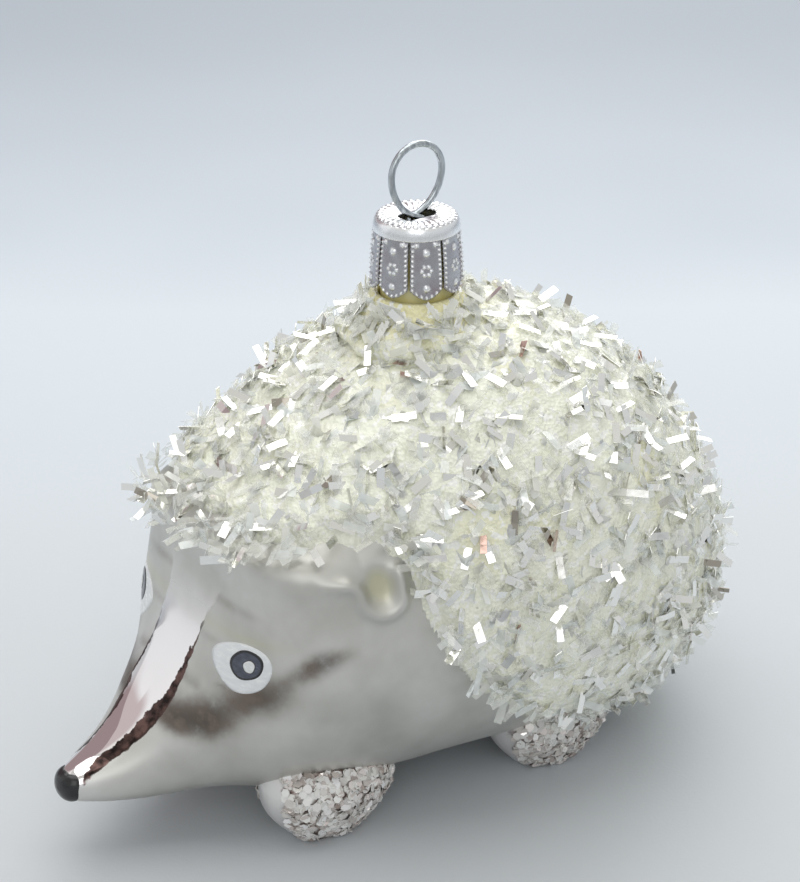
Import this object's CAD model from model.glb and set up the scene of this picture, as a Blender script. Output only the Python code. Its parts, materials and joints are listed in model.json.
# Hedgehog tree ornament in blown glass: silvered body with a mirror blaze down the face,
# a coat of tinsel chips in glue, flake glitter on the paws, painted eyes and nose,
# a stamped crown cap and a wire hanger. Metres; the nose points to -X, the left flank to -Y.
import json

import bpy
import numpy as np
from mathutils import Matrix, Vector

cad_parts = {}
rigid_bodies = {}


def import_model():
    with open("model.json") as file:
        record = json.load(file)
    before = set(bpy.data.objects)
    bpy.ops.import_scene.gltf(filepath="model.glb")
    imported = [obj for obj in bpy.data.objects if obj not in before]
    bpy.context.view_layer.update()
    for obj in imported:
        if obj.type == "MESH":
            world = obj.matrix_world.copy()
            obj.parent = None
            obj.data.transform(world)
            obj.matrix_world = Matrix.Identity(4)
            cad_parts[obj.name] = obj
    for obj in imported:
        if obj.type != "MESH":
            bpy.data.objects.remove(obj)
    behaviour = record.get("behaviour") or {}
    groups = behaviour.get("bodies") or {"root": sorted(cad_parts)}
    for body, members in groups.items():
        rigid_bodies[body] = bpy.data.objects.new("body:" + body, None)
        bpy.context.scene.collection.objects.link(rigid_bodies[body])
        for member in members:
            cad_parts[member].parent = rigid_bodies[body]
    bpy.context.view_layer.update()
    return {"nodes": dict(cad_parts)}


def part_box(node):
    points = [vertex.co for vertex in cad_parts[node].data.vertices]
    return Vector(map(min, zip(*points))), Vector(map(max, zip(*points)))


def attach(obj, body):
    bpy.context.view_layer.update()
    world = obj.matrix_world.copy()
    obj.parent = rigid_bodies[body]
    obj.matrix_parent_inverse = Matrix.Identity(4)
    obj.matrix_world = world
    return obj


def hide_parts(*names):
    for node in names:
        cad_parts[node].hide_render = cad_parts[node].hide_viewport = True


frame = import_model()
rng = np.random.default_rng(41)
mm = 0.001
sides = (("Left", -1), ("Right", 1))
print("frame loaded:", len(frame["nodes"]), "nodes")


# Nodes: a number that runs through a material, and the material that holds it

class Flow:
    # wraps one socket; every operator adds a Math node and gives its result
    def __init__(self, finish, socket):
        self.finish, self.socket = finish, socket

    def math(self, operation, other, turned=False):
        # a Math node on this flow and the other value, in turned order for a reflected operator
        pair = (other, self) if turned else (self, other)
        return self.finish.node("ShaderNodeMath", {"operation": operation}, dict(enumerate(pair)))

    def __add__(self, other):
        return self.math("ADD", other)

    def __sub__(self, other):
        return self.math("SUBTRACT", other)

    def __rsub__(self, other):
        return self.math("SUBTRACT", other, turned=True)

    def __mul__(self, other):
        return self.math("MULTIPLY", other)

    def __pow__(self, other):
        return self.math("POWER", other)

    def most(self, other):
        return self.math("MAXIMUM", other)

    __radd__ = __add__
    __rmul__ = __mul__


def paint(red, green, blue):
    # screen colour 0 to 255 to the linear colour that the shader takes
    share = np.array([red, green, blue]) / 255
    linear = np.where(share <= 0.04045, share / 12.92, ((share + 0.055) / 1.055) ** 2.4)
    return (*(float(v) for v in linear), 1.0)


class Finish:
    # one material: node() adds any node, shade() feeds the surface shader
    def __init__(self, name, tree=None):
        self.material = None
        if tree is None:
            self.material = bpy.data.materials.new(name)
            self.material.use_nodes = True
            tree = self.material.node_tree
        self.tree = tree

    def node(self, kind, settings=(), sockets=(), out=0):
        # a node of this type: its settings first, then its sockets, and the flow of one output
        made = self.tree.nodes.new(kind)
        for key, value in dict(settings).items():
            if key == "stops":
                for _ in range(len(value) - len(made.color_ramp.elements)):
                    made.color_ramp.elements.new(1.0)
                for element, (place, colour) in zip(made.color_ramp.elements, value):
                    element.position, element.color = place, colour
            else:
                setattr(made, key, value)
        self.feed(made, sockets)
        return Flow(self, made.outputs[out])

    def feed(self, made, sockets):
        # a flow is linked, a constant is set on the socket itself
        for key, value in dict(sockets).items():
            if isinstance(value, Flow):
                self.tree.links.new(value.socket, made.inputs[key])
            else:
                made.inputs[key].default_value = value

    def shade(self, **sockets):
        # sockets of the surface shader by name, with _ for a space
        named = {key.replace("_", " "): value for key, value in sockets.items()}
        self.feed(self.tree.nodes["Principled BSDF"], named)
        return self.material

    def place(self):  # the point in the object's own coordinates
        return self.node("ShaderNodeTexCoord", out=3)

    def axis(self, k):  # one of its three numbers
        return self.node("ShaderNodeSeparateXYZ", {}, {0: self.place()}, out=k)

    def held(self, name):  # a number that the mesh holds at its points
        return self.node("ShaderNodeAttribute", {"attribute_name": name}, out=2)

    def noise(self, size, detail=2.0, rough=0.5, stretch=None):
        # noise whose lumps are about this size; stretch squeezes it along the axes
        where = self.place()
        if stretch:
            where = self.node("ShaderNodeMapping", {}, {"Vector": where, "Scale": stretch})
        return self.node("ShaderNodeTexNoise", {}, {"Vector": where, "Scale": 1 / size, "Detail": detail,
                                                    "Roughness": rough})

    def cells(self, size, out=0):  # distance to the nearest of scattered points, or that point's colour
        return self.node("ShaderNodeTexVoronoi", {}, {"Vector": self.place(), "Scale": 1 / size}, out=out)

    def ease(self, value, low, high):  # none at low, one at high, smooth between
        return self.node("ShaderNodeMapRange", {"interpolation_type": "SMOOTHSTEP"}, {0: value, 1: low, 2: high})

    def blend(self, share, first, second):  # first colour at none, second at one
        return self.node("ShaderNodeMix", {"data_type": "RGBA"}, {0: share, 6: first, 7: second}, out=2)

    def ramp(self, value, *stops):  # colours between stops, each a place and a screen colour
        return self.node("ShaderNodeValToRGB", {"stops": [(at, paint(*shown)) for at, *shown in stops]}, {0: value})

    def bump(self, height, depth, strength=1.0):  # the normal tilted by a height of this depth
        return self.node("ShaderNodeBump", {}, {"Height": height, "Distance": depth, "Strength": strength})


# Meshes: grids of points, and what turns them into pieces

def gridFaces(rows, columns, wrap=True):
    # quads between neighbouring rows and columns; the last column meets the first when it wraps
    r = np.arange(rows - 1)[:, None]
    c = np.arange(columns if wrap else columns - 1)[None, :]
    d = (c + 1) % columns
    corners = np.broadcast_arrays(r * columns + c, r * columns + d, (r + 1) * columns + d, (r + 1) * columns + c)
    return np.stack(corners, -1).reshape(-1, 4)


def capped(points):
    # rings closed by one point at each end: the first and last rows shrink to a pole with a fan
    rows, columns = points.shape[:2]
    flat = np.concatenate([points[:1, 0], points[1:-1].reshape(-1, 3), points[-1:, 0]])
    c = np.arange(columns)
    d = (c + 1) % columns
    last = len(flat) - 1
    top = np.stack([np.zeros_like(c), 1 + d, 1 + c], -1)
    end = np.stack([np.full_like(c, last), last - columns + c, last - columns + d], -1)
    return flat, gridFaces(rows - 2, columns) + 1, np.concatenate([top, end])


def poleValues(values):
    # a grid of numbers in the same order as capped() lays its points
    return np.concatenate([values[:1, 0], values[1:-1].ravel(), values[-1:, 0]])


def volume(points, faceSets):
    # six times the signed volume: corner triples of each face's fan, dotted and crossed
    total = 0.0
    for faces in faceSets:
        for k in range(1, faces.shape[1] - 1):
            a, b, c = (points[faces[:, j]] for j in (0, k, k + 1))
            total += float((a * np.cross(b, c)).sum())
    return total


def meshFrom(name, points, *faceSets, closed=True, **values):
    # points and corner tables to a mesh, turned so that a closed shape faces outwards
    if closed and volume(points, faceSets) < 0:
        faceSets = [faces[:, ::-1] for faces in faceSets]
    corners = np.concatenate([faces.ravel() for faces in faceSets]).astype(np.int32)
    sizes = np.concatenate([np.full(len(faces), faces.shape[1]) for faces in faceSets])
    mesh = bpy.data.meshes.new(name)
    mesh.vertices.add(len(points))
    mesh.vertices.foreach_set("co", np.ascontiguousarray(points, dtype=np.float32).ravel())
    mesh.loops.add(len(corners))
    mesh.loops.foreach_set("vertex_index", corners)
    mesh.polygons.add(len(sizes))
    mesh.polygons.foreach_set("loop_start", (np.cumsum(sizes) - sizes).astype(np.int32))
    mesh.update(calc_edges=True)
    for key, numbers in values.items():
        held = mesh.attributes.new(key, "FLOAT", "POINT")
        held.data.foreach_set("value", np.asarray(numbers, dtype=np.float32))
    return mesh


def show(name, data):
    # an object for a mesh, lamp or camera, put into the scene
    made = bpy.data.objects.new(name, data)
    bpy.context.scene.collection.objects.link(made)
    return made


def piece(mesh, finish, body, slot, *nodes, smooth=True):
    # a mesh to a piece that rides on a body and may stand for solids of the frame
    if smooth:
        mesh.shade_smooth()
    else:
        mesh.shade_flat()
    mesh.materials.append(finish)
    made = show(mesh.name, mesh)
    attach(made, body)
    if nodes:
        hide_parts(*nodes)
    return made


def thicken(made, wall):
    # a live wall of this thickness under the faces
    solid = made.modifiers.new("wall", "SOLIDIFY")
    solid.thickness, solid.offset = wall, -1.0


def circle(count):
    # angles that share one full turn evenly
    return np.arange(count) / count * 2 * np.pi


def unit(vectors):
    # each vector divided by its own length
    return vectors / np.linalg.norm(vectors, axis=-1, keepdims=True)


def gridOf(x, y, z):
    # three arrays spread to one shape and stacked as points
    return np.stack(np.broadcast_arrays(x, y, z), -1)


def normalOf(surface, a, b, e):
    # a short step along one parameter crossed with a short step along the other
    return unit(np.cross(surface(a + e, b) - surface(a - e, b), surface(a, b + e) - surface(a, b - e)))


def hump(value, middle, wide, power=2):
    # e to the minus power of the distance from the middle, measured in widths
    return np.exp(-((value - middle) / wide) ** power)


def lensRows(rows):
    # shares from the middle to the rim on top and back again below, and which rows are on top
    share = np.concatenate([np.linspace(0, 1, rows), np.linspace(1, 0, rows // 2)])[:, None]
    return share, (np.arange(len(share)) < rows)[:, None]


# Body skin. Each row of lines: place along, then top, widest height and underside as shares of
# the height, half width as a share of half the width, and how far out and up the back is drawn.

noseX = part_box("glass_body")[0].x
body = dict(
    length=99.7 * mm, height=60.2 * mm, width=60.0 * mm, lift=2.8 * mm, lower=0.74,
    rows=330, columns=280, wobble=0.10 * mm, steadyNose=12, steadyEye=(21, 28, 25),
    nudge=0.002, pace=(0.7, 0.5, 0.7, 0.35),
    lines=np.array([
        (0.000, 0.130, 0.130, 0.130, 0.000, 0.72, 0.72),
        (0.005, 0.154, 0.130, 0.106, 0.053, 0.72, 0.72),
        (0.025, 0.173, 0.128, 0.091, 0.107, 0.72, 0.74),
        (0.075, 0.208, 0.133, 0.073, 0.183, 0.70, 0.80),
        (0.135, 0.292, 0.163, 0.066, 0.287, 0.66, 0.86),
        (0.186, 0.427, 0.206, 0.060, 0.400, 0.64, 0.88),
        (0.231, 0.585, 0.266, 0.050, 0.560, 0.79, 0.86),
        (0.281, 0.709, 0.336, 0.033, 0.690, 0.82, 0.79),
        (0.376, 0.834, 0.402, 0.013, 0.815, 0.76, 0.74),
        (0.497, 0.950, 0.452, 0.003, 0.933, 0.71, 0.71),
        (0.617, 1.000, 0.468, 0.000, 1.000, 0.71, 0.71),
        (0.737, 0.959, 0.455, 0.002, 0.980, 0.71, 0.71),
        (0.858, 0.834, 0.425, 0.030, 0.850, 0.71, 0.71),
        (0.948, 0.651, 0.394, 0.103, 0.600, 0.71, 0.71),
        (0.990, 0.485, 0.377, 0.236, 0.317, 0.71, 0.71),
        (1.000, 0.369, 0.369, 0.369, 0.000, 0.71, 0.71),
    ]),
)


def splineThrough(knots, values, query):
    # natural cubic spline: a tridiagonal system gives the bend at each knot, none at the ends
    step = np.diff(knots)
    slope = np.diff(values, axis=0) / step[:, None]
    system = np.diag(2 * (step[:-1] + step[1:])) + np.diag(step[1:-1], 1) + np.diag(step[1:-1], -1)
    bend = np.zeros_like(values)
    bend[1:-1] = np.linalg.solve(system, 6 * np.diff(slope, axis=0))
    k = np.clip(np.searchsorted(knots, query) - 1, 0, len(step) - 1)
    d = (query - knots[k])[..., None]
    h = step[k][..., None]
    return (values[k] + d * (slope[k] - h * (2 * bend[k] + bend[k + 1]) / 6)
            + d ** 2 * bend[k] / 2 + d ** 3 * (bend[k + 1] - bend[k]) / (6 * h))


# Knots: the length of the lines from row to row, so that rows lie evenly on the skin
lineSizes = np.array([body["length"], *np.multiply(body["pace"], [body["height"]] * 3 + [body["width"]])])
lineSteps = np.linalg.norm(np.diff(body["lines"][:, :5] * lineSizes, axis=0), axis=1)
bodyKnots = np.concatenate([[0], np.cumsum(lineSteps)]) / lineSteps.sum()


def quarter(start, first, second, end, s):
    # a cubic curve: its ends and its two pulls, weighted by powers of s and of the rest
    return start * (1 - s) ** 3 + 3 * first * s * (1 - s) ** 2 + 3 * second * s ** 2 * (1 - s) + end * s ** 3


def bodySkin(along, around):
    # the lines give each section; a section is two cubic quarters a side, from belly to flank to back
    line = splineThrough(bodyKnots, body["lines"], np.asarray(along, float))
    x = noseX + line[..., 0] * body["length"]
    top, waist, under = (body["lift"] + line[..., k] * body["height"] for k in (1, 2, 3))
    width = np.maximum(line[..., 4], 0) * body["width"] / 2
    back, side = ((line[..., k] - 0.5) * 8 / 3 for k in (5, 6))
    low = (body["lower"] - 0.5) * 8 / 3
    rise, drop = top - waist, waist - under
    turn = np.asarray(around) % 1 * 4
    right = turn >= 2
    fold = np.where(right, 4 - turn, turn)
    upper = fold > 1
    s = fold - upper
    y = np.where(upper, quarter(width, width, back * width, 0, s), quarter(0, low * width, width, width, s))
    z = np.where(upper, quarter(0, side * rise, rise, rise, s), -quarter(drop, drop, low * drop, 0, s))
    return gridOf(x, np.where(right, y, -y), waist + z)


def skinNormal(along, around):
    # short steps along and around the skin, crossed, kept clear of its ends
    e = body["nudge"]
    return normalOf(bodySkin, np.clip(along, 2 * e, 1 - 2 * e), around, e)


alongTable = np.linspace(0, 1, 2001)
xTable = bodySkin(alongTable, 0.0)[:, 0]


def noseMm(points):
    # how far points lie behind the tip of the nose, in mm
    return (points[..., 0] - noseX) / mm


def alongAt(x):
    # the share of the length at which the skin passes x, from the table
    return np.interp(x, xTable, alongTable)


def flankAround(x, z):
    # the turn at which the left flank passes a height: halving steps, since height grows with the turn
    along = alongAt(x)
    low, high = np.zeros_like(z), np.full_like(z, 0.5)
    for _ in range(40):
        middle = (low + high) / 2
        below = bodySkin(along, middle)[..., 2] < z
        low, high = np.where(below, middle, low), np.where(below, high, middle)
    return along, (low + high) / 2


alongGrid = np.linspace(0, 1, body["rows"])[:, None]
aroundGrid = np.arange(body["columns"])[None, :] / body["columns"]
skin = bodySkin(alongGrid, aroundGrid)
normals = skinNormal(alongGrid, aroundGrid)
fromNose = noseMm(skin)
height = skin[..., 2] / mm
halfway = np.abs(skin[..., 1]) / mm

# Ear rim in the side view: a level tail, a turn down, the round lobe and a short rise
ear = dict(x=34.0, z=38.0, lobe=1.7, radius=2.6, rise=2.6, tail=2.4, tailRadius=1.6, rim=0.9, width=0.85, hollow=0.55,
           hollowUp=1.2, hollowSquash=0.8, hollowWide=1.7, thinFrom=0.8, thinOver=3.5, window=9)


def earPath(count=40):
    # straight, clockwise quarter, half circle and straight, end to end
    s = np.linspace(0, 1, count)[:, None]
    lobeX = ear["x"] + ear["lobe"]
    left = lobeX - ear["radius"]
    t = ear["tailRadius"]
    tail = (left - t - ear["tail"] * (1 - s), ear["z"] + t + 0 * s)
    turn = (left - t + t * np.sin(s * np.pi / 2), ear["z"] + t * np.cos(s * np.pi / 2))
    lobe = (lobeX - ear["radius"] * np.cos(s * np.pi), ear["z"] - ear["radius"] * np.sin(s * np.pi))
    rise = (lobeX + ear["radius"] + 0 * s, ear["z"] + ear["rise"] * s)
    return np.concatenate([np.hstack(part) for part in (tail, turn, lobe, rise)])


def earRelief():
    # a round ridge along the path, and a hollow inside the lobe, on both flanks
    path = earPath()
    near = (np.abs(fromNose - ear["x"]) < ear["window"]) & (np.abs(height - ear["z"]) < ear["window"])
    gap = np.full(fromNose.shape, 99.0)
    here = np.stack([fromNose[near], height[near]], -1)
    gap[near] = np.linalg.norm(here[:, None] - path[None], axis=-1).min(1)
    inner = np.hypot(fromNose - ear["x"] - ear["lobe"], (height - ear["z"] - ear["hollowUp"]) * ear["hollowSquash"])
    hollow = hump(inner, 0, ear["hollowWide"], 4) * near
    start = ear["x"] + ear["lobe"] - ear["radius"] - ear["tailRadius"] - ear["tail"]
    rim = ear["rim"] * np.clip((fromNose - start + ear["thinFrom"]) / ear["thinOver"], 0, 1)  # the tail thins out
    return rim * hump(gap, 0, ear["width"]) - ear["hollow"] * hollow, hollow


# Brow: the glass flares out below the front edge of the coat
brow = dict(flare=3.2, z=40.8, tall=3.0, front=22.0, back=34.0)


def browFlare(points):
    # a bell up the height times a ramp that ends behind the brow, in mm
    x = noseMm(points)
    ramp = np.clip((brow["back"] - x) / (brow["back"] - brow["front"]), 0, 1)
    return brow["flare"] * ramp * hump(points[..., 2] / mm, brow["z"], brow["tall"])


relief, earHollow = earRelief()
relief = relief + browFlare(skin)
# The blown glass isn't quite even: slow crossed waves, none at the muzzle's tip or under the eyes
wobble = (np.sin(fromNose * 0.31 + height * 0.17) * np.sin(halfway * 0.27 + height * 0.23 + 1.3)
          + 0.6 * np.sin(fromNose * 0.12 - height * 0.41 + 2.0))
eyeX, eyeZ, eyeSquare = body["steadyEye"]
wobble = wobble * (1 - np.exp(-((fromNose - eyeX) ** 2 + (height - eyeZ) ** 2) / eyeSquare))
uneven = wobble * body["wobble"] * np.clip(fromNose / body["steadyNose"], 0, 1)
bodyPoints = skin + normals * (relief * mm + uneven)[..., None]

# Mirror blaze down the face: half width along the face, the heights over which it fades on the brow,
# and the width of the burnt band inside its edge, narrower on the far side
blaze = dict(
    along=(0.0, 3.5, 6.0, 9.0, 12.0, 15.0, 18.0, 20.5, 22.5, 26.0),
    half=(2.2, 2.9, 3.0, 3.7, 4.5, 5.0, 4.6, 4.9, 6.6, 10.0),
    fade=(27.0, 37.0), end=34.0, top=(0.30, 0.70), outside=-6.0, clean=0.4,
    bandAlong=(2.0, 3.5, 8.0, 12.0, 14.5, 16.5, 19.0, 21.0),
    bandWide=(0.0, 1.2, 1.9, 2.3, 1.7, 1.0, 0.5, 0.0), farSide=0.3,
)
blazeEdge = np.interp(fromNose, blaze["along"], blaze["half"]) - halfway
onTop = (fromNose < blaze["end"]) & (aroundGrid > blaze["top"][0]) & (aroundGrid < blaze["top"][1])
inBlaze = np.where(onTop, blazeEdge, blaze["outside"])
band = np.interp(fromNose, blaze["bandAlong"], blaze["bandWide"])
band = band * np.where(skin[..., 1] > 0, blaze["farSide"], 1.0)

# Tarnish under the lacquer, in the side view (from the nose, height): one long smear with its
# half width and strength along it, and soft blots (size along and up, strength)
tarnish = dict(
    path=((14.0, 19.6), (16.7, 19.9), (19.3, 22.0), (21.9, 24.4), (24.5, 27.0), (28.0, 29.9), (31.4, 30.9)),
    half=(2.2, 2.9, 2.2, 2.6, 1.7, 1.7, 1.3), strength=(1.0, 1.0, 0.7, 0.85, 0.5, 0.8, 0.3),
    blots=((19.0, 24.7, 0.8, 0.5, 0.5), (16.7, 24.1, 0.8, 1.9, 0.42), (21.8, 34.7, 1.3, 0.9, 0.36),
           (19.4, 30.0, 0.7, 0.8, 0.32)),
    olive=(21.8, 31.5, 2.4, 0.7, 0.45), bells=70, front=9, back=35, top=40,
)


def bell(x, z, wide, tall, strength):
    # a soft round spot: strength times e to the minus squared distance in its own sizes
    return strength * np.exp(-((fromNose - x) / wide) ** 2 - ((height - z) / tall) ** 2)


def smearField():
    # the strongest of many bells along the path, each with the width and strength there
    count = len(tarnish["half"])
    step = np.linspace(0, count - 1, tarnish["bells"])
    x, z, wide, strong = (np.interp(step, np.arange(count), row)
                          for row in (*np.transpose(tarnish["path"]), tarnish["half"], tarnish["strength"]))
    near = (fromNose > tarnish["front"]) & (fromNose < tarnish["back"]) & (height < tarnish["top"])
    gap = np.hypot(fromNose[near][:, None] - x, height[near][:, None] - z) / wide
    field = np.zeros(fromNose.shape)
    field[near] = (strong * np.exp(-gap ** 2)).max(1)
    return field


blots = np.maximum(smearField(), sum(bell(*blot) for blot in tarnish["blots"]))
blots = np.where(inBlaze < blaze["clean"], blots, 0.0)  # none on the bare mirror
olive = np.maximum(earHollow, bell(*tarnish["olive"]))


def silveredGlass():
    # satin pearl lacquer over silver, bare mirror in the blaze with a brushed edge and a burnt band inside it
    f = Finish("silveredGlass")
    brush = f.noise(1.6 * mm, 3.0)
    inside = f.held("blaze")
    mirror = f.ease(inside + (brush - 0.5) * 0.9, -0.12, 0.12)
    mirror = mirror * f.ease(f.axis(2), blaze["fade"][1] * mm, blaze["fade"][0] * mm)
    cloud = f.noise(9 * mm, 3.0)
    satin = f.ramp(cloud, (0.30, 190, 189, 183), (0.55, 207, 206, 201), (0.75, 217, 216, 213))
    mottle = f.noise(2.6 * mm, 5.0, 0.6)
    stain = f.ease(f.held("blot") * (0.35 + 1.3 * mottle), 0.06, 0.92)
    satin = f.blend(stain * 0.92, satin, f.ramp(mottle, (0.38, 72, 62, 52), (0.62, 112, 98, 88)))
    satin = f.blend(f.held("olive") * 0.6, satin, paint(198, 194, 150))
    wide = f.held("band")
    burnt = f.ease(wide - inside - (f.noise(1.2 * mm, 4.0) - 0.5) * 1.9, -0.08, 0.10) * f.ease(wide, 0.0, 0.35)
    silver = f.blend(burnt, paint(243, 239, 239), f.ramp(brush, (0.40, 34, 25, 23), (0.66, 104, 80, 75)))
    colour = f.blend(mirror, satin, silver)
    rough = 0.36 + 0.12 * cloud - mirror * 0.4
    wave = f.bump(f.noise(7 * mm, 1.0), 0.25 * mm, 0.35)
    return f.shade(Base_Color=colour, Metallic=0.80 + 0.20 * mirror, Roughness=rough.most(0.035), Normal=wave,
                   Coat_Weight=0.2, Coat_Roughness=0.2)


flatBody, bodyQuads, bodyFans = capped(bodyPoints)
piece(
    meshFrom("glassBody", flatBody, bodyQuads, bodyFans, blaze=poleValues(inBlaze), blot=poleValues(blots),
             olive=poleValues(olive), band=poleValues(band)),
    silveredGlass(), "ornament", "silvered_glass", "glass_body")
print("body:", len(flatBody), "points")


# Neck: a ring profile turned about the neck axis, flared into the back, with a rounded lip

neck = dict(fromNose=56.8 * mm, radius=4.8 * mm, bore=3.9 * mm, flare=1.6 * mm, sink=2.5 * mm, columns=72)
neckX = noseX + neck["fromNose"]
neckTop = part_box("glass_body")[1].z
neckFoot = bodySkin(alongAt(neckX), 0.5)[2]


def roundNeck(radius, turn, z, scale=mm):
    # a radius and a height carried round the standing axis of the neck
    return gridOf(neckX + radius * np.cos(turn) * scale, radius * np.sin(turn) * scale, z)


def neckGap(points):
    # how far points lie from that axis
    return np.hypot(points[:, 0] - neckX, points[:, 1])


def neckProfile():
    # up the flared outside, over the half-round lip, down the bore and back under the skin
    lip = np.linspace(0, np.pi, 13)
    middle, wall = (neck["radius"] + neck["bore"]) / 2, (neck["radius"] - neck["bore"]) / 2
    flare = np.linspace(0, 1, 10)
    outer = np.stack([neck["radius"] + neck["flare"] * (1 - flare) ** 2, neckFoot - neck["sink"] / 3
                      + flare * (neck["flare"] + neck["sink"] / 3)], -1)
    over = np.stack([middle + wall * np.cos(lip), neckTop - wall + wall * np.sin(lip)], -1)
    foot = np.array([(neck["bore"], neckFoot - neck["sink"]),
                     (neck["radius"] + neck["flare"], neckFoot - neck["sink"])])
    return np.concatenate([outer, over, foot])


def ringShell(rings):
    # rings joined row to row, and the last row back to the first
    rows, columns = rings.shape[:2]
    return rings.reshape(-1, 3), gridFaces(rows + 1, columns) % (rows * columns)


def neckGlass():
    # bare silvered glass above, smeared with dried glue that thins out upwards
    f = Finish("neckGlass")
    cloud = f.noise(3 * mm, 3.0)
    glued = f.ease(f.axis(2) + (f.noise(2.2 * mm, 3.0) - 0.5) * 9 * mm, neckTop - 2.5 * mm, neckTop - 5.5 * mm)
    silver = f.ramp(cloud, (0.3, 180, 180, 172), (0.7, 216, 216, 210))
    colour = f.blend(glued, silver, f.ramp(cloud, (0.35, 226, 214, 138), (0.65, 236, 230, 182)))
    return f.shade(Base_Color=colour, Metallic=0.7 - glued * 0.7, Roughness=0.16 + 0.2 * cloud + 0.2 * glued,
                   Normal=f.bump(cloud, 0.15 * mm, 0.4))


neckShape = neckProfile()
neckRing = roundNeck(neckShape[:, :1], circle(neck["columns"]), neckShape[:, 1:], scale=1.0)
piece(meshFrom("glassNeck", *ringShell(neckRing)), neckGlass(), "ornament", "silvered_glass")
print("neck: top at", round(neckTop / mm, 2), "mm")


# Paws: ovals from sole to root, smoothly joined, each closed by a point under the sole and inside the body

paws = dict(
    places={"front": (32.4, 13.4), "rear": (67.6, 16.4)},  # from the nose, out from the middle
    heights=(0.0, 4.0, 9.0, 16.0), lengths=(5.0, 8.4, 9.6, 5.0), widths=(3.4, 5.6, 6.2, 3.6),
    inset=(0.0, 0.0, 0.0, 5.5), rows=60, columns=96, soleRows=8,
)


def pawSkin(name, side, level, turn):
    # an oval at each height, its sizes on a spline through sole, ball, shoulder and root
    table = np.array([paws["lengths"], paws["widths"], paws["inset"]]).T
    z = level * paws["heights"][-1]
    oval = splineThrough(np.array(paws["heights"]), table, z)
    place, spread = paws["places"][name]
    x = noseX + (place + oval[..., 0] * np.cos(turn)) * mm
    y = side * (spread - oval[..., 2] + oval[..., 1] * np.sin(turn)) * mm
    return gridOf(x, y, z * mm)


def pawGrid(name, side):
    # the wall from sole to root, with rows that shrink to a point across each end
    turn = circle(paws["columns"])
    wall = pawSkin(name, side, np.linspace(0, 1, paws["rows"])[:, None], turn)
    share = np.linspace(0, 1, paws["soleRows"])[:, None, None]
    sole = wall[:1].mean(1, keepdims=True) * (1 - share) + wall[:1] * share
    root = wall[-1:] * (1 - share) + wall[-1:].mean(1, keepdims=True) * share
    return np.concatenate([sole[:-1], wall, root[1:]])


def pawGlass():
    # silver under the flakes, browned where the glue is thin, and a bare pale strip down the front
    f = Finish("pawGlass")
    stain = f.noise(1.4 * mm, 3.0)
    colour = f.ramp(stain, (0.34, 84, 58, 52), (0.44, 160, 144, 138), (0.60, 212, 208, 203))
    colour = f.blend(f.ease(f.held("front") + (stain - 0.5) * 0.3, 0.80, 0.90), colour, paint(222, 221, 220))
    return f.shade(Base_Color=colour, Metallic=0.45, Roughness=0.28 + 0.2 * stain, Normal=f.bump(stain, 0.2 * mm, 0.4))


pawList = [(pawName, sideName, side) for pawName in paws["places"] for sideName, side in sides]
pawFinish = pawGlass()
for pawName, sideName, side in pawList:
    grid = pawGrid(pawName, side)
    front = np.broadcast_to(-np.cos(circle(paws["columns"])), grid.shape[:2])
    piece(meshFrom("paw" + pawName.title() + sideName, *capped(grid), front=poleValues(front)), pawFinish,
          "ornament", "silvered_glass")
print("paws:", len(pawList))


def outsideBody(points):
    # true where a point is below the belly or further out than the flank at its height
    along, turn = flankAround(points[:, 0], points[:, 2])
    flank = np.abs(bodySkin(along, turn)[:, 1])
    belly = bodySkin(along, 0.0 * along)[:, 2]
    return (points[:, 2] < belly) | (np.abs(points[:, 1]) > flank)


# Glitter: six-sided flakes laid on each paw, tilted a little, a few standing on edge

flakes = dict(tries=3000, corners=6, radius=(0.50, 0.68), sheet=0.07, lift=0.30, tilt=14, standing=0.06, foot=0.5,
              bare=0.86, upEdge=3.2, steepest=1.2, downwards=0.8, leastLift=0.4, nudge=0.004)


def randomTurn(count, spread):
    # angles from a bell curve, its spread in degrees
    return rng.normal(0, 1, count) * np.radians(spread)


def flakeMesh(name, centre, normal, radius):
    # hexagons on a tilted plane, with a thin wall between the upper and the lower one
    count = len(centre)
    first = unit(np.cross(normal, rng.normal(0, 1, (count, 3))))
    second = np.cross(normal, first)
    tilt, lean = randomTurn(count, flakes["tilt"]), randomTurn(count, flakes["tilt"])
    standing = rng.random(count) < flakes["standing"]
    tilt = np.where(standing, tilt * flakes["upEdge"], tilt)
    tilt = np.clip(tilt, -flakes["steepest"], flakes["steepest"])
    up = unit(normal + first * np.tan(tilt)[:, None] + second * np.tan(lean)[:, None])
    first = unit(np.cross(second, up))
    second = np.cross(up, first)
    corners = flakes["corners"]
    turn = circle(corners)
    rim = first[:, None] * np.cos(turn)[:, None] + second[:, None] * np.sin(turn)[:, None]
    rim = rim * radius[:, None, None] * mm
    thick = up[:, None] * flakes["sheet"] * mm / 2
    points = np.stack([centre[:, None] + rim - thick, centre[:, None] + rim + thick], 1).reshape(-1, 3)
    c = np.arange(corners)
    d = (c + 1) % corners
    base = (np.arange(count) * 2 * corners)[:, None, None]
    walls = (base + np.stack([c, d, d + corners, c + corners], -1)[None]).reshape(-1, 4)
    caps = (base + np.stack([c[::-1], c + corners])[None]).reshape(-1, corners)
    return meshFrom(name, points, walls, caps, tone=np.repeat(rng.random(count), 2 * corners))


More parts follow.
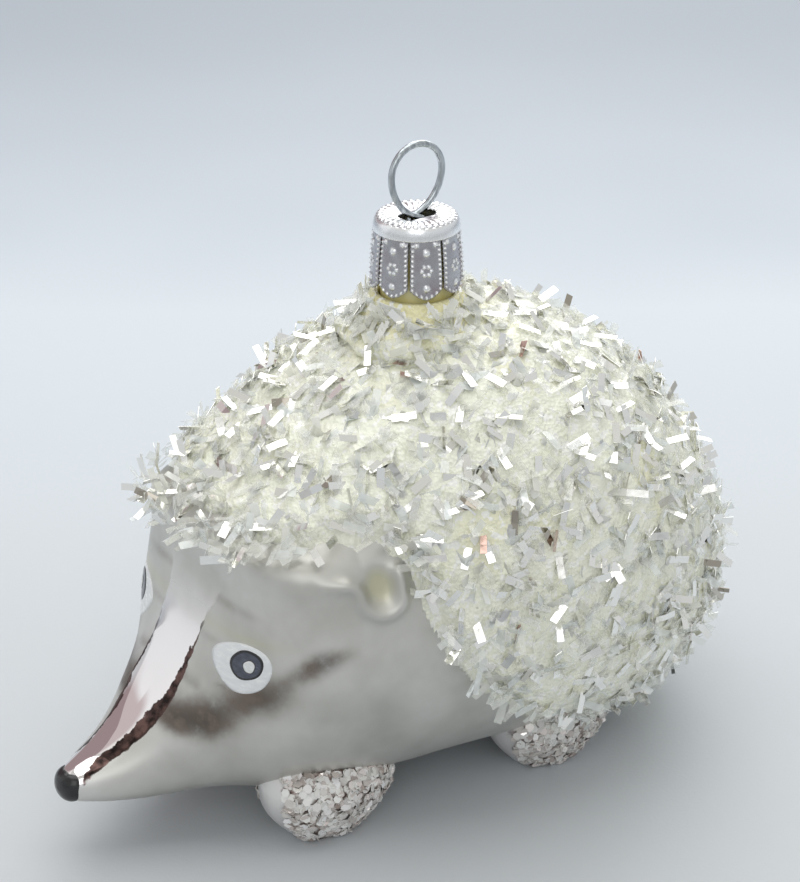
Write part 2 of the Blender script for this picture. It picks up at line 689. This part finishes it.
def flakeFinish():
    # pearly flakes: most pale and milky, some bright mirror, some grey or pink
    f = Finish("flakeGlitter")
    tone = f.held("tone")
    colour = f.ramp(tone, (0.00, 146, 130, 122), (0.12, 194, 186, 180), (0.35, 220, 218, 214),
                    (0.70, 238, 238, 235), (0.90, 224, 212, 206), (1.00, 246, 246, 247))
    shine = f.ease(tone, 0.66, 0.72) * f.ease(tone, 0.92, 0.86)
    return f.shade(Base_Color=colour, Metallic=shine * 0.8, Roughness=0.32 - shine * 0.16, Coat_Weight=0.4,
                   Coat_Roughness=0.08)


glitterFinish = flakeFinish()
for pawName, sideName, side in pawList:
    level = rng.random(flakes["tries"]) ** flakes["downwards"]
    turn = rng.random(flakes["tries"]) * 2 * np.pi
    spot = pawSkin(pawName, side, level, turn)
    out = normalOf(lambda t, s: pawSkin(pawName, side, s, t), turn, level, flakes["nudge"]) * side
    spot = spot + out * (flakes["lift"] * mm * (flakes["leastLift"] + rng.random((len(spot), 1))))
    keep = outsideBody(spot) & (spot[:, 2] > flakes["foot"] * mm) & (np.cos(turn) > -flakes["bare"])
    size = rng.uniform(*flakes["radius"], keep.sum())
    node = "glitter_" + pawName + "_" + sideName.lower()
    piece(flakeMesh("glitter" + pawName.title() + sideName, spot[keep], out[keep], size), glitterFinish,
          "ornament", "glitter", node, smooth=False)
    print(node, int(keep.sum()), "flakes")


# Tinsel coat: where it lies, its glue, and its chips

coat = dict(
    edgeX=(17.0, 23.5, 27.0, 32.0, 36.3, 39.6, 41.6, 43.6, 47.5, 52.5, 59.0, 67.5, 78.0, 90.0, 108.0),
    edgeZ=(40.5, 40.0, 42.2, 44.2, 45.0, 42.6, 36.5, 30.5, 25.0, 19.5, 14.0, 11.0, 8.0, 6.0, 5.0),
    glue=1.35, lumps=0.25, sink=0.5, fade=1.6, inset=0.9, browFrom=21.0, browTo=29.0, browGlue=1.6,
    wall=0.5, grain=0.15, soften=0.6, ragged=0.35, nudge=0.6,
)


def coatDepth(points):
    # height over the coat's lower edge in the side view, eased by the slope of that edge, in mm
    x = noseMm(points)
    edge = np.interp(x, coat["edgeX"], coat["edgeZ"])
    e = coat["nudge"]
    fore, back = (np.interp(x + step, coat["edgeX"], coat["edgeZ"]) for step in (e, -e))
    slope = (fore - back) / (2 * e)
    return (points[..., 2] / mm - edge) / np.sqrt(1 + slope ** 2)


def onBrow(points):
    # one at the front edge of the coat, easing to none behind the brow
    x = noseMm(points)
    return np.clip((coat["browTo"] - x) / (coat["browTo"] - coat["browFrom"]), 0, 1)


inCoat = coatDepth(skin)


def glueBed():
    # the skin raised by the glue's depth and lumps, diving under the glass at the coat's edge
    lumps = (np.sin(fromNose * 1.9 + height * 0.7) * np.sin(height * 1.7 + skin[..., 1] / mm * 1.3)
             + 0.7 * np.sin(fromNose * 0.83 - skin[..., 1] / mm * 0.9 + 1.0) * np.sin(height * 0.71 + 2.0)
             + coat["grain"] * rng.normal(0, 1, skin.shape[:2]))
    rise = (coat["glue"] + coat["browGlue"] * onBrow(skin) + browFlare(skin)
            + coat["lumps"] * lumps * coat["soften"])
    share = np.clip((inCoat - coat["inset"] + coat["ragged"] * lumps) / coat["fade"], -1, 1)
    lift = np.where(share > 0, rise * np.sin(np.maximum(share, 0) * np.pi / 2), coat["sink"] * share)
    points = skin + normals * (lift * mm)[..., None]
    flat, quads, fans = capped(points)
    inside = poleValues(inCoat) > -coat["fade"]
    quads = quads[inside[quads].all(1)]
    fans = fans[inside[fans].all(1)]
    used = np.unique(np.concatenate([quads.ravel(), fans.ravel()]))
    renumber = np.zeros(len(flat), int)
    renumber[used] = np.arange(len(used))
    return flat[used], renumber[quads], renumber[fans]


def glueFinish():
    # dried glue: cream, yellow round the neck and in patches, dotted with pale grains
    f = Finish("driedGlue")
    patch = f.noise(11 * mm, 3.0)
    grain = f.cells(0.7 * mm, out=1)
    away = ((f.axis(0) - neckX) ** 2 + f.axis(1) ** 2) ** 0.5
    yellow = f.ease(away, 13 * mm, 5.5 * mm).most(f.ease(patch, 0.56, 0.72) * 0.4)
    cream = f.blend(yellow, paint(243, 244, 227), paint(234, 228, 178))
    speck = f.ease(f.node("ShaderNodeSeparateColor", {}, {0: grain}, out=0), 0.72, 0.80)
    cream = f.blend(speck, cream, paint(250, 250, 244))
    dark = f.ease(f.cells(2.3 * mm), 0.10, 0.05) * 0.35
    cream = f.blend(dark, cream, paint(150, 146, 122))
    return f.shade(Base_Color=cream, Roughness=0.20 + 0.3 * f.noise(1.2 * mm),
                   Normal=f.bump(f.cells(0.5 * mm), 0.4 * mm, 0.5), Coat_Weight=0.8, Coat_Roughness=0.08)


gluePaint = glueFinish()
glue = piece(meshFrom("glueBed", *glueBed(), closed=False), gluePaint, "ornament", "tinsel", "tinsel_coat")
thicken(glue, coat["wall"] * mm)
print("glue bed:", len(glue.data.vertices), "points")

# Collar of glue round the neck, up to just under the cap: radius and height over the neck's foot
collar = dict(
    profile=((4.9, -1.6), (4.95, 3.0), (5.1, 4.7), (5.6, 5.0), (6.1, 4.7), (6.6, 3.8), (7.2, 2.7), (8.2, 1.7),
             (9.6, 0.7), (10.6, -0.8), (9.0, -2.4)),
    rows=40, columns=110, lumps=0.30, smoothTo=0.4,
)


def collarSkin(row, turn):
    # a spline through the profile carried round the neck, pushed in and out by crossed waves
    profile = np.array(collar["profile"])
    ring = splineThrough(np.linspace(0, 1, len(profile)), profile, row)
    wave = np.sin(5 * turn + 9 * row) + np.sin(8 * turn - 14 * row + 1.0) + 0.6 * np.sin(13 * turn + 23 * row)
    radius = ring[..., 0] + collar["lumps"] * wave * np.clip((row - collar["smoothTo"]) * 4, 0, 1)
    return roundNeck(radius, turn, neckFoot + ring[..., 1] * mm)


collarRings = collarSkin(np.linspace(0, 1, collar["rows"])[:, None], circle(collar["columns"]))
piece(meshFrom("glueCollar", *ringShell(collarRings)), gluePaint, "ornament", "tinsel")
print("glue collar:", collarRings.size // 3, "points")

# Chips: short strips cut from film and foil, thrown on the wet glue
chips = dict(
    milky=dict(count=1700, onCollar=90, length=(2.4, 3.5), width=(0.85, 1.15), lift=(4, 14), base=(1.1, 1.7)),
    clear=dict(count=3000, onCollar=170, length=(2.6, 3.7), width=(0.85, 1.15), lift=(6, 20), base=(1.3, 2.1)),
    foil=dict(count=1300, onCollar=25, length=(2.6, 3.5), width=(0.85, 1.1), lift=(4, 25), base=(1.6, 2.3)),
    sheet=0.05, bow=0.10, overhang=0.8, neckRoom=6.2, capRoom=6.9, capFoot=5.0, steepest=78, roll=28, seat=0.38,
    browRise=2.4, browLean=1.0, browStand=50, forwards=(-1.0, 0.0, 0.2),
    collarRows=(0.45, 0.9), collarBase=(0.1, 0.5), nudge=0.01,
)


def scatter(count):
    # places on the coat, as likely as the skin's area there is large
    across = np.roll(skin, -1, 1) - skin
    fore = np.diff(skin, axis=0)
    area = np.linalg.norm(np.cross(across[:-1], fore), axis=-1)
    weight = area * (inCoat[:-1] > -chips["overhang"])
    cell = rng.choice(weight.size, count, p=weight.ravel() / weight.sum())
    row, column = np.divmod(cell, weight.shape[1])
    return (row + rng.random(count)) / (body["rows"] - 1), (column + rng.random(count)) / body["columns"]


def stripMesh(name, centre, way, side, length, width, bow):
    # a flat box section carried over three stations of a shallow bow, closed at both ends
    count = len(centre)
    up = np.cross(way, side)
    station = np.array([-0.5, 0.0, 0.5])
    middle = centre[:, None] + way[:, None] * (station[None] * length[:, None])[..., None]
    middle = middle + up[:, None] * (bow[:, None] * (1 - 4 * station[None] ** 2))[..., None]
    corner = np.array([(-1, -1), (1, -1), (1, 1), (-1, 1)]) / 2
    section = (side[:, None] * (corner[None, :, 0] * width[:, None])[..., None]
               + up[:, None] * (corner[None, :, 1] * chips["sheet"] * mm)[..., None])
    points = (middle[:, :, None] + section[:, None]).reshape(-1, 3)
    box = np.concatenate([gridFaces(len(station), len(corner)), [(3, 2, 1, 0), (8, 9, 10, 11)]])
    each = len(station) * len(corner)
    faces = (np.arange(count)[:, None, None] * each + box[None]).reshape(-1, 4)
    return meshFrom(name, points, faces, tone=np.repeat(rng.random(count), each))


def chipSpots(size):
    # places on the body clear of the neck and on the collar, with the normal and the height of the chip's foot
    along, around = scatter(size["count"])
    spot, normal = bodySkin(along, around), skinNormal(along, around)
    clear = neckGap(spot) > chips["neckRoom"] * mm
    spot, normal = spot[clear], normal[clear]
    base = rng.uniform(*size["base"], len(spot))
    row = rng.uniform(*chips["collarRows"], size["onCollar"])
    turn, e = rng.random(size["onCollar"]) * 2 * np.pi, chips["nudge"]
    onCollar = collarSkin(row, turn)
    out = unit(np.cross(collarSkin(row, turn + e) - onCollar, collarSkin(row + e, turn) - onCollar))
    out = out * np.sign((out * (onCollar - [neckX, 0.0, neckFoot])).sum(1))[:, None]
    low = rng.uniform(*chips["collarBase"], len(onCollar))
    return np.concatenate([spot, onCollar]), np.concatenate([normal, out]), np.concatenate([base, low])


def chipPiece(name, kind, finish):
    # each chip starts near the glue, points its own way and rises by its own angle;
    # those on the brow stand steeper and lean forwards
    size = chips[kind]
    spot, normal, base = chipSpots(size)
    count = len(spot)
    first = unit(np.cross(normal, rng.normal(0, 1, (count, 3))))
    lift = np.radians(np.clip(np.abs(rng.normal(*size["lift"], count)), 0, chips["steepest"]))
    ahead = onBrow(spot)
    lift = lift + ahead * np.radians(chips["browStand"]) * rng.random(count)
    way = first * np.cos(lift)[:, None] + normal * np.sin(lift)[:, None]
    way = unit(way + ahead[:, None] * chips["browLean"] * rng.random((count, 1)) * np.array(chips["forwards"]))
    flat = unit(np.cross(normal, way))
    roll = randomTurn(count, chips["roll"])
    side = unit(flat * np.cos(roll)[:, None] + np.cross(way, flat) * np.sin(roll)[:, None])
    length = rng.uniform(*size["length"], count) * mm
    width = rng.uniform(*size["width"], count) * mm
    base = base + browFlare(spot) + ahead * chips["browRise"] * rng.random(count)
    centre = spot + normal * (base * mm)[:, None] + way * (length * chips["seat"])[:, None]
    bow = rng.normal(0, chips["bow"] * mm, count)
    tip = centre + way * (length * 0.5)[:, None]
    keep = (neckGap(tip) > chips["capRoom"] * mm) | (tip[:, 2] < neckFoot + chips["capFoot"] * mm)  # clear of the cap
    mesh = stripMesh(name, centre[keep], way[keep], side[keep], length[keep], width[keep], bow[keep])
    piece(mesh, finish, "ornament", "tinsel", smooth=False)
    print(name, int(keep.sum()), "chips")


def milkyFilm():
    # white film that lets a little light by, cream or faintly tinted from chip to chip, with a soft shine
    f = Finish("milkyFilm")
    tone = f.held("tone")
    colour = f.ramp(tone, (0.0, 242, 243, 226), (0.35, 248, 249, 238), (0.7, 251, 252, 246),
                    (0.88, 240, 248, 244), (1.0, 252, 252, 252))
    return f.shade(Base_Color=colour, Roughness=0.22 + 0.25 * tone, Alpha=0.7 + 0.3 * tone, Coat_Weight=0.6,
                   Coat_Roughness=0.06, Subsurface_Weight=0.6, Subsurface_Scale=0.8 * mm,
                   Subsurface_Radius=(1.0, 1.0, 0.9))


def clearFilm():
    # clear film that lets most of the light by, with a sharp shine
    f = Finish("clearFilm")
    tone = f.held("tone")
    colour = f.ramp(tone, (0.0, 245, 245, 228), (0.6, 250, 251, 245), (1.0, 240, 245, 246))
    return f.shade(Base_Color=colour, Roughness=0.08, Alpha=0.12 + 0.26 * tone, Coat_Weight=1.0, Coat_Roughness=0.03,
                   Metallic=0.1)


def foilSilver():
    # silver foil, a few chips brown-rose or grey-brown, faintly wrinkled
    f = Finish("foilSilver")
    tone = f.held("tone")
    colour = f.ramp(tone, (0.00, 176, 168, 156), (0.05, 222, 221, 215), (0.12, 250, 249, 245),
                    (0.990, 251, 251, 248), (0.994, 204, 176, 166), (1.0, 196, 164, 152))
    return f.shade(Base_Color=colour, Metallic=1.0, Roughness=0.08 + 0.10 * tone,
                   Normal=f.bump(f.noise(1.4 * mm, 1.0), 0.05 * mm, 0.4))


for kind, makeFinish in (("milky", milkyFilm), ("clear", clearFilm), ("foil", foilSilver)):
    chipPiece("tinsel" + kind.title(), kind, makeFinish())


# Painted eyes: white, ring and dot, each a thin lens of enamel on the one below.
# Centres and half axes are in the side view, from the nose and up.

eyes = dict(
    white=dict(centre=(20.95, 27.65), long=(2.05, 0.85), tall=(0.10, 3.22), wave=0.012, lift=0.16),
    ring=dict(centre=(21.20, 28.28), long=(1.20, 0.73), tall=(0.08, 1.95), wave=0.025, lift=0.27),
    dot=dict(centre=(21.36, 28.30), long=(0.46, 0.10), tall=(0.18, 0.98), wave=0.04, lift=0.36),
    rows=14, columns=72, sink=0.12, phase=0.6,
)


def eyeLens(layer, side, phase):
    # an oval with a wavy rim laid on the flank: a low dome above, and the same oval sunk below
    turn = circle(eyes["columns"])
    share, upper = lensRows(eyes["rows"])
    rim = 1 + layer["wave"] * (np.sin(2 * turn + phase) + 0.7 * np.sin(3 * turn + 2 * phase) + 0.5 * np.sin(5 * turn))
    (cx, cz), (lx, lz), (tx, tz) = layer["centre"], layer["long"], layer["tall"]
    a, b = share * rim * np.cos(turn), share * rim * np.sin(turn)
    x = noseX + (cx + a * lx + b * tx) * mm
    z = (cz + a * lz + b * tz) * mm
    along, around = flankAround(x, z)
    dome = layer["lift"] - eyes["sink"] * share ** 8
    depth = np.where(upper, dome, layer["lift"] - 2 * eyes["sink"])
    points = bodySkin(along, around) + skinNormal(along, around) * (depth * mm)[..., None]
    points[..., 1] *= -side
    return points, np.broadcast_to(share, a.shape)


def enamel(name, pale, deep, rim=None):
    # brushed paint: two close tones in soft streaks, with a darker outline where one is asked for
    f = Finish(name)
    streak = f.noise(1.5 * mm, 3.0, stretch=(1.0, 1.0, 2.5))
    colour = f.blend(f.ease(streak, 0.35, 0.68), deep, pale)
    if rim:
        colour = f.blend(f.ease(f.held("share") + (streak - 0.5) * 0.12, 0.80, 0.90), colour, rim)
    return f.shade(Base_Color=colour, Roughness=0.20 + 0.12 * streak, Normal=f.bump(streak, 0.08 * mm, 0.4),
                   Coat_Weight=0.3, Coat_Roughness=0.1)


whiteEnamel = enamel("whiteEnamel", paint(232, 234, 235), paint(222, 224, 226))
ringEnamel = enamel("slateEnamel", paint(80, 84, 98), paint(62, 66, 78), rim=paint(16, 16, 20))
dotEnamel = enamel("dotEnamel", paint(226, 227, 226), paint(212, 214, 214), rim=paint(34, 35, 40))
eyeNodes = {"white": ("eye_white", whiteEnamel, "white_enamel"), "ring": ("eye_iris", ringEnamel, "grey_enamel"),
            "dot": ("eye_glint", dotEnamel, "white_enamel")}
for sideName, side in sides:
    for number, (layerName, (node, finish, slot)) in enumerate(eyeNodes.items()):
        points, share = eyeLens(eyes[layerName], side, eyes["phase"] + number)
        mesh = meshFrom("eye" + layerName.title() + sideName, *capped(points), share=poleValues(share))
        piece(mesh, finish, "ornament", slot, node + "_" + sideName.lower())
print("eyes: 6 layers")


# Nose: glossy black enamel with a heart-shaped upper edge

nose = dict(depth=0.30, sink=0.12, turn=(0.0, 0.09, 0.17, 0.28, 0.47, 1.0), reach=(1.35, 1.35, 1.95, 1.95, 1.55, 1.5),
            rows=26, columns=96, lap=0.05)


def noseCap():
    # the skin from the tip to an edge that dips in a notch on top, raised in a low dome and closed below
    around = np.arange(nose["columns"])[None, :] / nose["columns"]
    off = np.abs(around - 0.5) * 2
    reach = np.interp(off, nose["turn"], nose["reach"])
    edge = alongAt(noseX + reach * mm)
    share, upper = lensRows(nose["rows"])
    along = share * edge
    depth = np.where(upper, nose["depth"] - (nose["depth"] + nose["lap"]) * share ** 6, -nose["sink"])
    return bodySkin(along, around) + skinNormal(along, around) * (depth * mm)[..., None]


blackEnamel = enamel("blackEnamel", paint(20, 20, 22), paint(12, 12, 13))
piece(meshFrom("noseEnamel", *capped(noseCap())), blackEnamel, "ornament", "black_enamel", "nose_enamel")
print("nose")


# Crown cap: a stamped top with a slot, radial ridges and a beaded rim, and eight petals with beaded edges

cap = dict(
    sheet=0.25, top=5.1, foot=6.05, height=9.5, shoulder=1.5, columns=400, discRows=30, bandRows=16,
    slotHalf=1.45, slotWide=1.38, ridges=30, ridgeRise=0.38, ridgeAt=(3.6, 0.95), beads=34, beadRise=0.30,
    beadAt=(4.80, 0.26), dish=0.10, dishAt=(2.9, 0.7), flare=0.42, bandTone=0.6,
    petals=8, across=44, down=76, gap=0.30, point=1.3, belly=0.12, lap=0.05,
    edgeBead=0.66, edgeRise=0.30, edgeFull=0.35, sideBead=(0.30, 0.17), footBead=(0.34, 0.18), clear=0.3, firstBead=0.5,
    boss=0.28, bossSize=0.42, bossAt=(0.20, 0.80), flower=0.62, flowerSize=0.24, flowerAt=0.50, flowerRise=0.8,
    corner=0.26, cornerSize=0.30, cornerAt=(1.25, 0.55),
)
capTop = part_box("crown_cap")[0].z + cap["height"] * mm


def capDisc():
    # rows spread from the slot's outline to a circle, then over the rim and down the shoulder band
    turn = circle(cap["columns"])
    across, up = np.cos(turn), np.sin(turn)
    flat = np.clip(np.abs(across) / np.maximum(np.abs(up), 1e-6) * cap["slotWide"], 0, None) < cap["slotHalf"]
    straight = cap["slotWide"] / np.maximum(np.abs(up), 1e-6)
    inside = cap["slotWide"] ** 2 - (cap["slotHalf"] * up) ** 2
    curved = cap["slotHalf"] * np.abs(across) + np.sqrt(np.maximum(inside, 0))
    slot = np.where(flat, straight, curved)
    share = np.linspace(0, 1, cap["discRows"])[:, None]
    radius = slot * (1 - share) + cap["top"] * share
    ridge = np.abs(np.cos(turn * cap["ridges"] / 2)) ** 3 * hump(radius, *cap["ridgeAt"], 4)
    bead = np.sqrt(np.maximum(np.cos(turn * cap["beads"]), 0)) * hump(radius, *cap["beadAt"])
    dish = -cap["dish"] * hump(radius, *cap["dishAt"])
    z = cap["ridgeRise"] * ridge + cap["beadRise"] * bead + dish
    fall = np.linspace(0, 1, cap["bandRows"])[1:, None]
    bandRadius = cap["top"] + cap["flare"] * np.sin(fall * np.pi / 2) + 0 * turn
    bandZ = -cap["shoulder"] * (1 - np.cos(fall * np.pi / 2)) ** 0.8 + 0 * turn
    raised = np.concatenate([np.maximum(ridge, bead), cap["bandTone"] + 0 * bandZ])
    radius, z = np.concatenate([radius, bandRadius]), np.concatenate([z, bandZ])
    return roundNeck(radius, turn, capTop + z * mm), raised


def dots(u, v, places, size):
    # round bosses: a bell at each place, in mm across and down the petal
    return sum(np.exp(-(((u - x) ** 2 + (v - y) ** 2) / size ** 2) ** 1.5) for x, y in places)


def capPetal(number):
    # across and down one petal of the bell: straight sides, a pointed round end, beads and bosses
    u = np.linspace(-1, 1, cap["across"])[None, :]
    v = np.linspace(0, 1, cap["down"])[:, None]
    full = cap["height"] - cap["shoulder"]
    length = full - cap["point"] * np.abs(u) ** 1.7
    down = v * length
    radius = (cap["top"] + cap["flare"] + (cap["foot"] - cap["top"] - cap["flare"]) * down / full
              + cap["belly"] * np.sin(down / full * np.pi))
    half = np.pi / cap["petals"] - cap["gap"] / 2 / radius
    mmAcross = u * half * radius
    sideGap = (1 - np.abs(u)) * half * radius
    footGap = length - down
    alongSide, alongFoot = (np.clip(np.cos(way / cap["edgeBead"] * 2 * np.pi) + cap["edgeFull"], 0, 1)
                            for way in (down, mmAcross))
    sideBead = hump(sideGap, *cap["sideBead"]) * alongSide * (footGap > cap["clear"]) * (down > cap["firstBead"])
    footBead = hump(footGap, *cap["footBead"]) * alongFoot * (sideGap > cap["clear"])
    beads = np.maximum(sideBead, footBead)
    flower = [(cap["flower"] * np.cos(t), full * cap["flowerAt"] + cap["flower"] * np.sin(t)) for t in circle(6)]
    pair = [(0, full * at) for at in cap["bossAt"]]
    boss = (dots(mmAcross, down, pair, cap["bossSize"])
            + cap["flowerRise"] * dots(mmAcross, down, flower, cap["flowerSize"]))
    cornerX, cornerY = cap["cornerAt"]
    corner = dots(mmAcross, down, [(-cornerX, cornerY), (cornerX, cornerY)], cap["cornerSize"])
    raised = np.maximum(beads, np.maximum(boss, corner))
    radius = radius + cap["edgeRise"] * beads + cap["boss"] * boss + cap["corner"] * corner
    turn = (number + 0.5) / cap["petals"] * 2 * np.pi + u * half
    return roundNeck(radius, turn, capTop - (cap["shoulder"] + down - cap["lap"]) * mm), raised


def capMetal():
    # thin silvered tin: bright on the raised stamping, grey in the hollows, a rosy tint in patches
    f = Finish("capMetal")
    patch = f.noise(3.5 * mm, 2.0)
    fine = f.noise(0.5 * mm, 2.0)
    flat = f.ramp(patch, (0.30, 166, 158, 164), (0.50, 178, 178, 183), (0.75, 190, 191, 195))
    colour = f.blend(f.ease(f.held("raised"), 0.05, 0.6), flat, paint(248, 249, 251))
    return f.shade(Base_Color=colour, Metallic=1.0, Roughness=0.20 + 0.14 * fine, Normal=f.bump(fine, 0.04 * mm, 0.5))


discGrid, discRaised = capDisc()
capPoints, capFaces, capRaised = [discGrid.reshape(-1, 3)], [gridFaces(*discGrid.shape[:2])], [discRaised.ravel()]
for number in range(cap["petals"]):
    petal, petalRaised = capPetal(number)
    capFaces.append(gridFaces(*petal.shape[:2], wrap=False)[:, ::-1] + sum(len(p) for p in capPoints))
    capPoints.append(petal.reshape(-1, 3))
    capRaised.append(np.broadcast_to(petalRaised, petal.shape[:2]).ravel())
crownCap = piece(meshFrom("crownCap", np.concatenate(capPoints), np.concatenate(capFaces), closed=False,
                          raised=np.concatenate(capRaised)), capMetal(), "cap", "cap_metal", "crown_cap")
thicken(crownCap, cap["sheet"] * mm)
print("cap:", len(crownCap.data.vertices), "points")


# Hanger: spring wire through the slot. Half of it is a quarter circle, a wider arc that crosses the
# middle at the cap, a tight bend and a straight leg; the other half is the same turned half round.

wire = dict(radius=0.45, loop=4.15, lower=6.0, lowerTurn=72, bend=1.3, bendTurn=58, offset=0.55, reach=3.15, columns=20,
            steps=(40, 40, 16, 24))
loopRise = wire["loop"] + wire["lower"] * np.sin(np.radians(wire["lowerTurn"]))


def arcFrom(start, heading, radius, turn, count):
    # points of an arc from a point and a heading; a positive turn bends to the left
    side = np.sign(turn)
    centre = start + radius * side * np.array([-np.sin(heading), np.cos(heading)])
    angle = heading - side * np.pi / 2 + np.radians(turn) * np.linspace(0, 1, count)
    points = centre + radius * np.stack([np.cos(angle), np.sin(angle)], -1)
    return points, heading + np.radians(turn)


def halfWire():
    # two arcs, a bend and a leg end to end in a plane, leaned so that the halves pass each other in the slot
    upperSteps, lowerSteps, bendSteps, legSteps = wire["steps"]
    upper, heading = arcFrom(np.array([0.0, loopRise]), 0.0, wire["loop"], -90, upperSteps)
    lower, heading = arcFrom(upper[-1], heading, wire["lower"], -wire["lowerTurn"], lowerSteps)
    bend, heading = arcFrom(lower[-1], heading, wire["bend"], wire["bendTurn"], bendSteps)
    legLength = (wire["reach"] + bend[-1, 0]) / -np.cos(heading)
    leg = bend[-1] + np.linspace(0, 1, legSteps)[:, None] * legLength * np.array([np.cos(heading), np.sin(heading)])
    flat = np.concatenate([upper, lower[1:], bend[1:], leg[1:]])
    rise = np.array([0.0, -wire["offset"], loopRise]) / np.hypot(wire["offset"], loopRise)
    return np.array([0.0, wire["offset"], 0.0]) + flat[:, :1] * np.array([1.0, 0.0, 0.0]) + flat[:, 1:] * rise


def tube(path, radius, columns):
    # a circle carried along a path that lies nearly in one upright plane, closed at both ends
    tangent = unit(np.gradient(path, axis=0))
    across = unit(np.cross(np.array([0.0, 1.0, 0.0]), tangent))
    third = np.cross(tangent, across)
    turn = circle(columns)
    ring = across[:, None] * np.cos(turn)[:, None] + third[:, None] * np.sin(turn)[:, None]
    rings = path[:, None] + ring * radius
    ends = [np.repeat(path[k][None, None], columns, 1) for k in (0, -1)]
    return np.concatenate([ends[0], rings, ends[1]])


def springSteel():
    # drawn wire: bright steel with faint lengthwise streaks
    f = Finish("springSteel")
    streak = f.noise(0.5 * mm, 3.0, stretch=(1.0, 1.0, 0.15))
    colour = f.ramp(streak, (0.30, 150, 157, 162), (0.70, 206, 212, 216))
    return f.shade(Base_Color=colour, Metallic=1.0, Roughness=0.16 + 0.14 * streak)


half = halfWire()
wirePath = np.concatenate([half[::-1], (half * np.array([-1.0, -1.0, 1.0]))[1:]]) * mm + np.array([neckX, 0.0, capTop])
piece(meshFrom("hangerWire", *capped(tube(wirePath, wire["radius"] * mm, wire["columns"]))), springSteel(), "hanger",
      "spring_wire", "hanger_wire")
print("hanger:", len(wirePath), "stations")


# Stage: a pale cloth sweep, soft lights, and the camera at the photograph's place

view = dict(target=(8.964 * mm, 9.8 * mm, 40.0 * mm), azimuth=-35.0, elevation=25.648, distance=0.340, lens=98.53)
floor = dict(half=3.0, lines=60)


def viewAxes():
    # level directions of the picture: away from the camera, and to its right
    turn = np.radians(view["azimuth"])
    return np.array([-np.sin(turn), np.cos(turn), 0.0]), np.array([np.cos(turn), np.sin(turn), 0.0])


def floorGrid():
    # a level square, with lines along and across the picture
    away, right = viewAxes()
    step = np.linspace(-floor["half"], floor["half"], floor["lines"])
    return step[:, None, None] * away + step[None, :, None] * right


def paleCloth():
    # satin cloth in lavender grey, darker towards the front and far behind, with slow folds and a fine weave
    f = Finish("paleCloth")
    away, _ = viewAxes()
    depth = f.axis(0) * float(away[0]) + f.axis(1) * float(away[1])
    fold = f.noise(0.16, 2.0)
    shift = depth + (fold - 0.5) * 0.10
    colour = f.ramp(f.ease(shift, -0.20, 0.42), (0.00, 188, 190, 192), (0.42, 198, 204, 210),
                    (0.62, 199, 206, 213), (0.80, 178, 185, 194), (1.00, 154, 161, 170))
    weave = f.noise(0.5 * mm, 2.0)
    return f.shade(Base_Color=colour, Roughness=0.75, Normal=f.bump(weave, 0.12 * mm, 0.25))


floorPoints = floorGrid()
floorFaces = gridFaces(*floorPoints.shape[:2], wrap=False)[:, ::-1]
cloth = show("clothFloor", meshFrom("clothFloor", floorPoints.reshape(-1, 3), floorFaces, closed=False))
cloth.data.shade_smooth()
cloth.data.materials.append(paleCloth())

# Lamps: where each stands from the object, its width and height, and its power in watts
lamps = dict(
    window=dict(place=(-0.483, 0.434, 0.300), size=(0.44, 0.74), power=0.25, colour=(1.0, 1.0, 1.0)),
    ceiling=dict(place=(0.05, 0.12, 0.76), size=(0.85, 0.85), power=3.4, colour=(0.99, 1.0, 1.0)),
    front=dict(place=(-0.42, -0.58, 0.48), size=(0.50, 0.50), power=0.75, colour=(0.98, 0.99, 1.0)),
    behind=dict(place=(0.52, 0.50, 0.42), size=(0.62, 0.62), power=2.8, colour=(1.0, 1.0, 1.0)),
)


def aim(obj, place, target):
    # turn an object so that its -Z axis looks from its place to the target
    obj.location = place
    obj.rotation_euler = (Vector(target) - Vector(place)).to_track_quat("-Z", "Y").to_euler()


for lampName, lamp in lamps.items():
    light = bpy.data.lights.new(lampName, "AREA")
    light.shape, light.energy, light.color = "RECTANGLE", lamp["power"], lamp["colour"]
    light.size, light.size_y = lamp["size"]
    lampObject = show(lampName, light)
    lampObject.visible_camera = False
    aim(lampObject, np.add(view["target"], lamp["place"]), view["target"])

# Room round it: a soft sky from floor to ceiling, with a rosy wall behind that the muzzle mirrors
studio = dict(strength=0.85, wallWay=(-0.21, 0.86, 0.46), wallFrom=0.895, wallTo=0.935)
world = bpy.data.worlds.new("studio")
bpy.context.scene.world = world
world.use_nodes = True
sky = Finish("studio", world.node_tree)
look = sky.node("ShaderNodeTexCoord", out=0)
upward = sky.node("ShaderNodeSeparateXYZ", {}, {0: look}, out=2)
room = sky.ramp(upward * 0.5 + 0.5, (0.00, 170, 174, 180), (0.50, 213, 217, 221),
                (0.68, 228, 230, 231), (0.84, 222, 222, 219), (1.00, 220, 220, 216))
toBack = sky.node("ShaderNodeVectorMath", {"operation": "DOT_PRODUCT"}, {0: look, 1: studio["wallWay"]}, out=1)
room = sky.blend(sky.ease(toBack, studio["wallFrom"], studio["wallTo"]), room, paint(170, 152, 154))
sky.feed(world.node_tree.nodes["Background"], {"Color": room, "Strength": studio["strength"]})

cameraData = bpy.data.cameras.new("camera")
cameraData.lens = view["lens"]
camera = show("camera", cameraData)
away, _ = viewAxes()
level, rise = np.cos(np.radians(view["elevation"])), np.sin(np.radians(view["elevation"]))
camera.location = np.array(view["target"]) + view["distance"] * (np.array([0.0, 0.0, rise]) - away * level)
camera.rotation_euler = (np.radians(90 - view["elevation"]), 0.0, np.radians(view["azimuth"]))
bpy.context.scene.camera = camera
bpy.context.scene.view_settings.view_transform = "Standard"
print("stage, lamps and camera set")
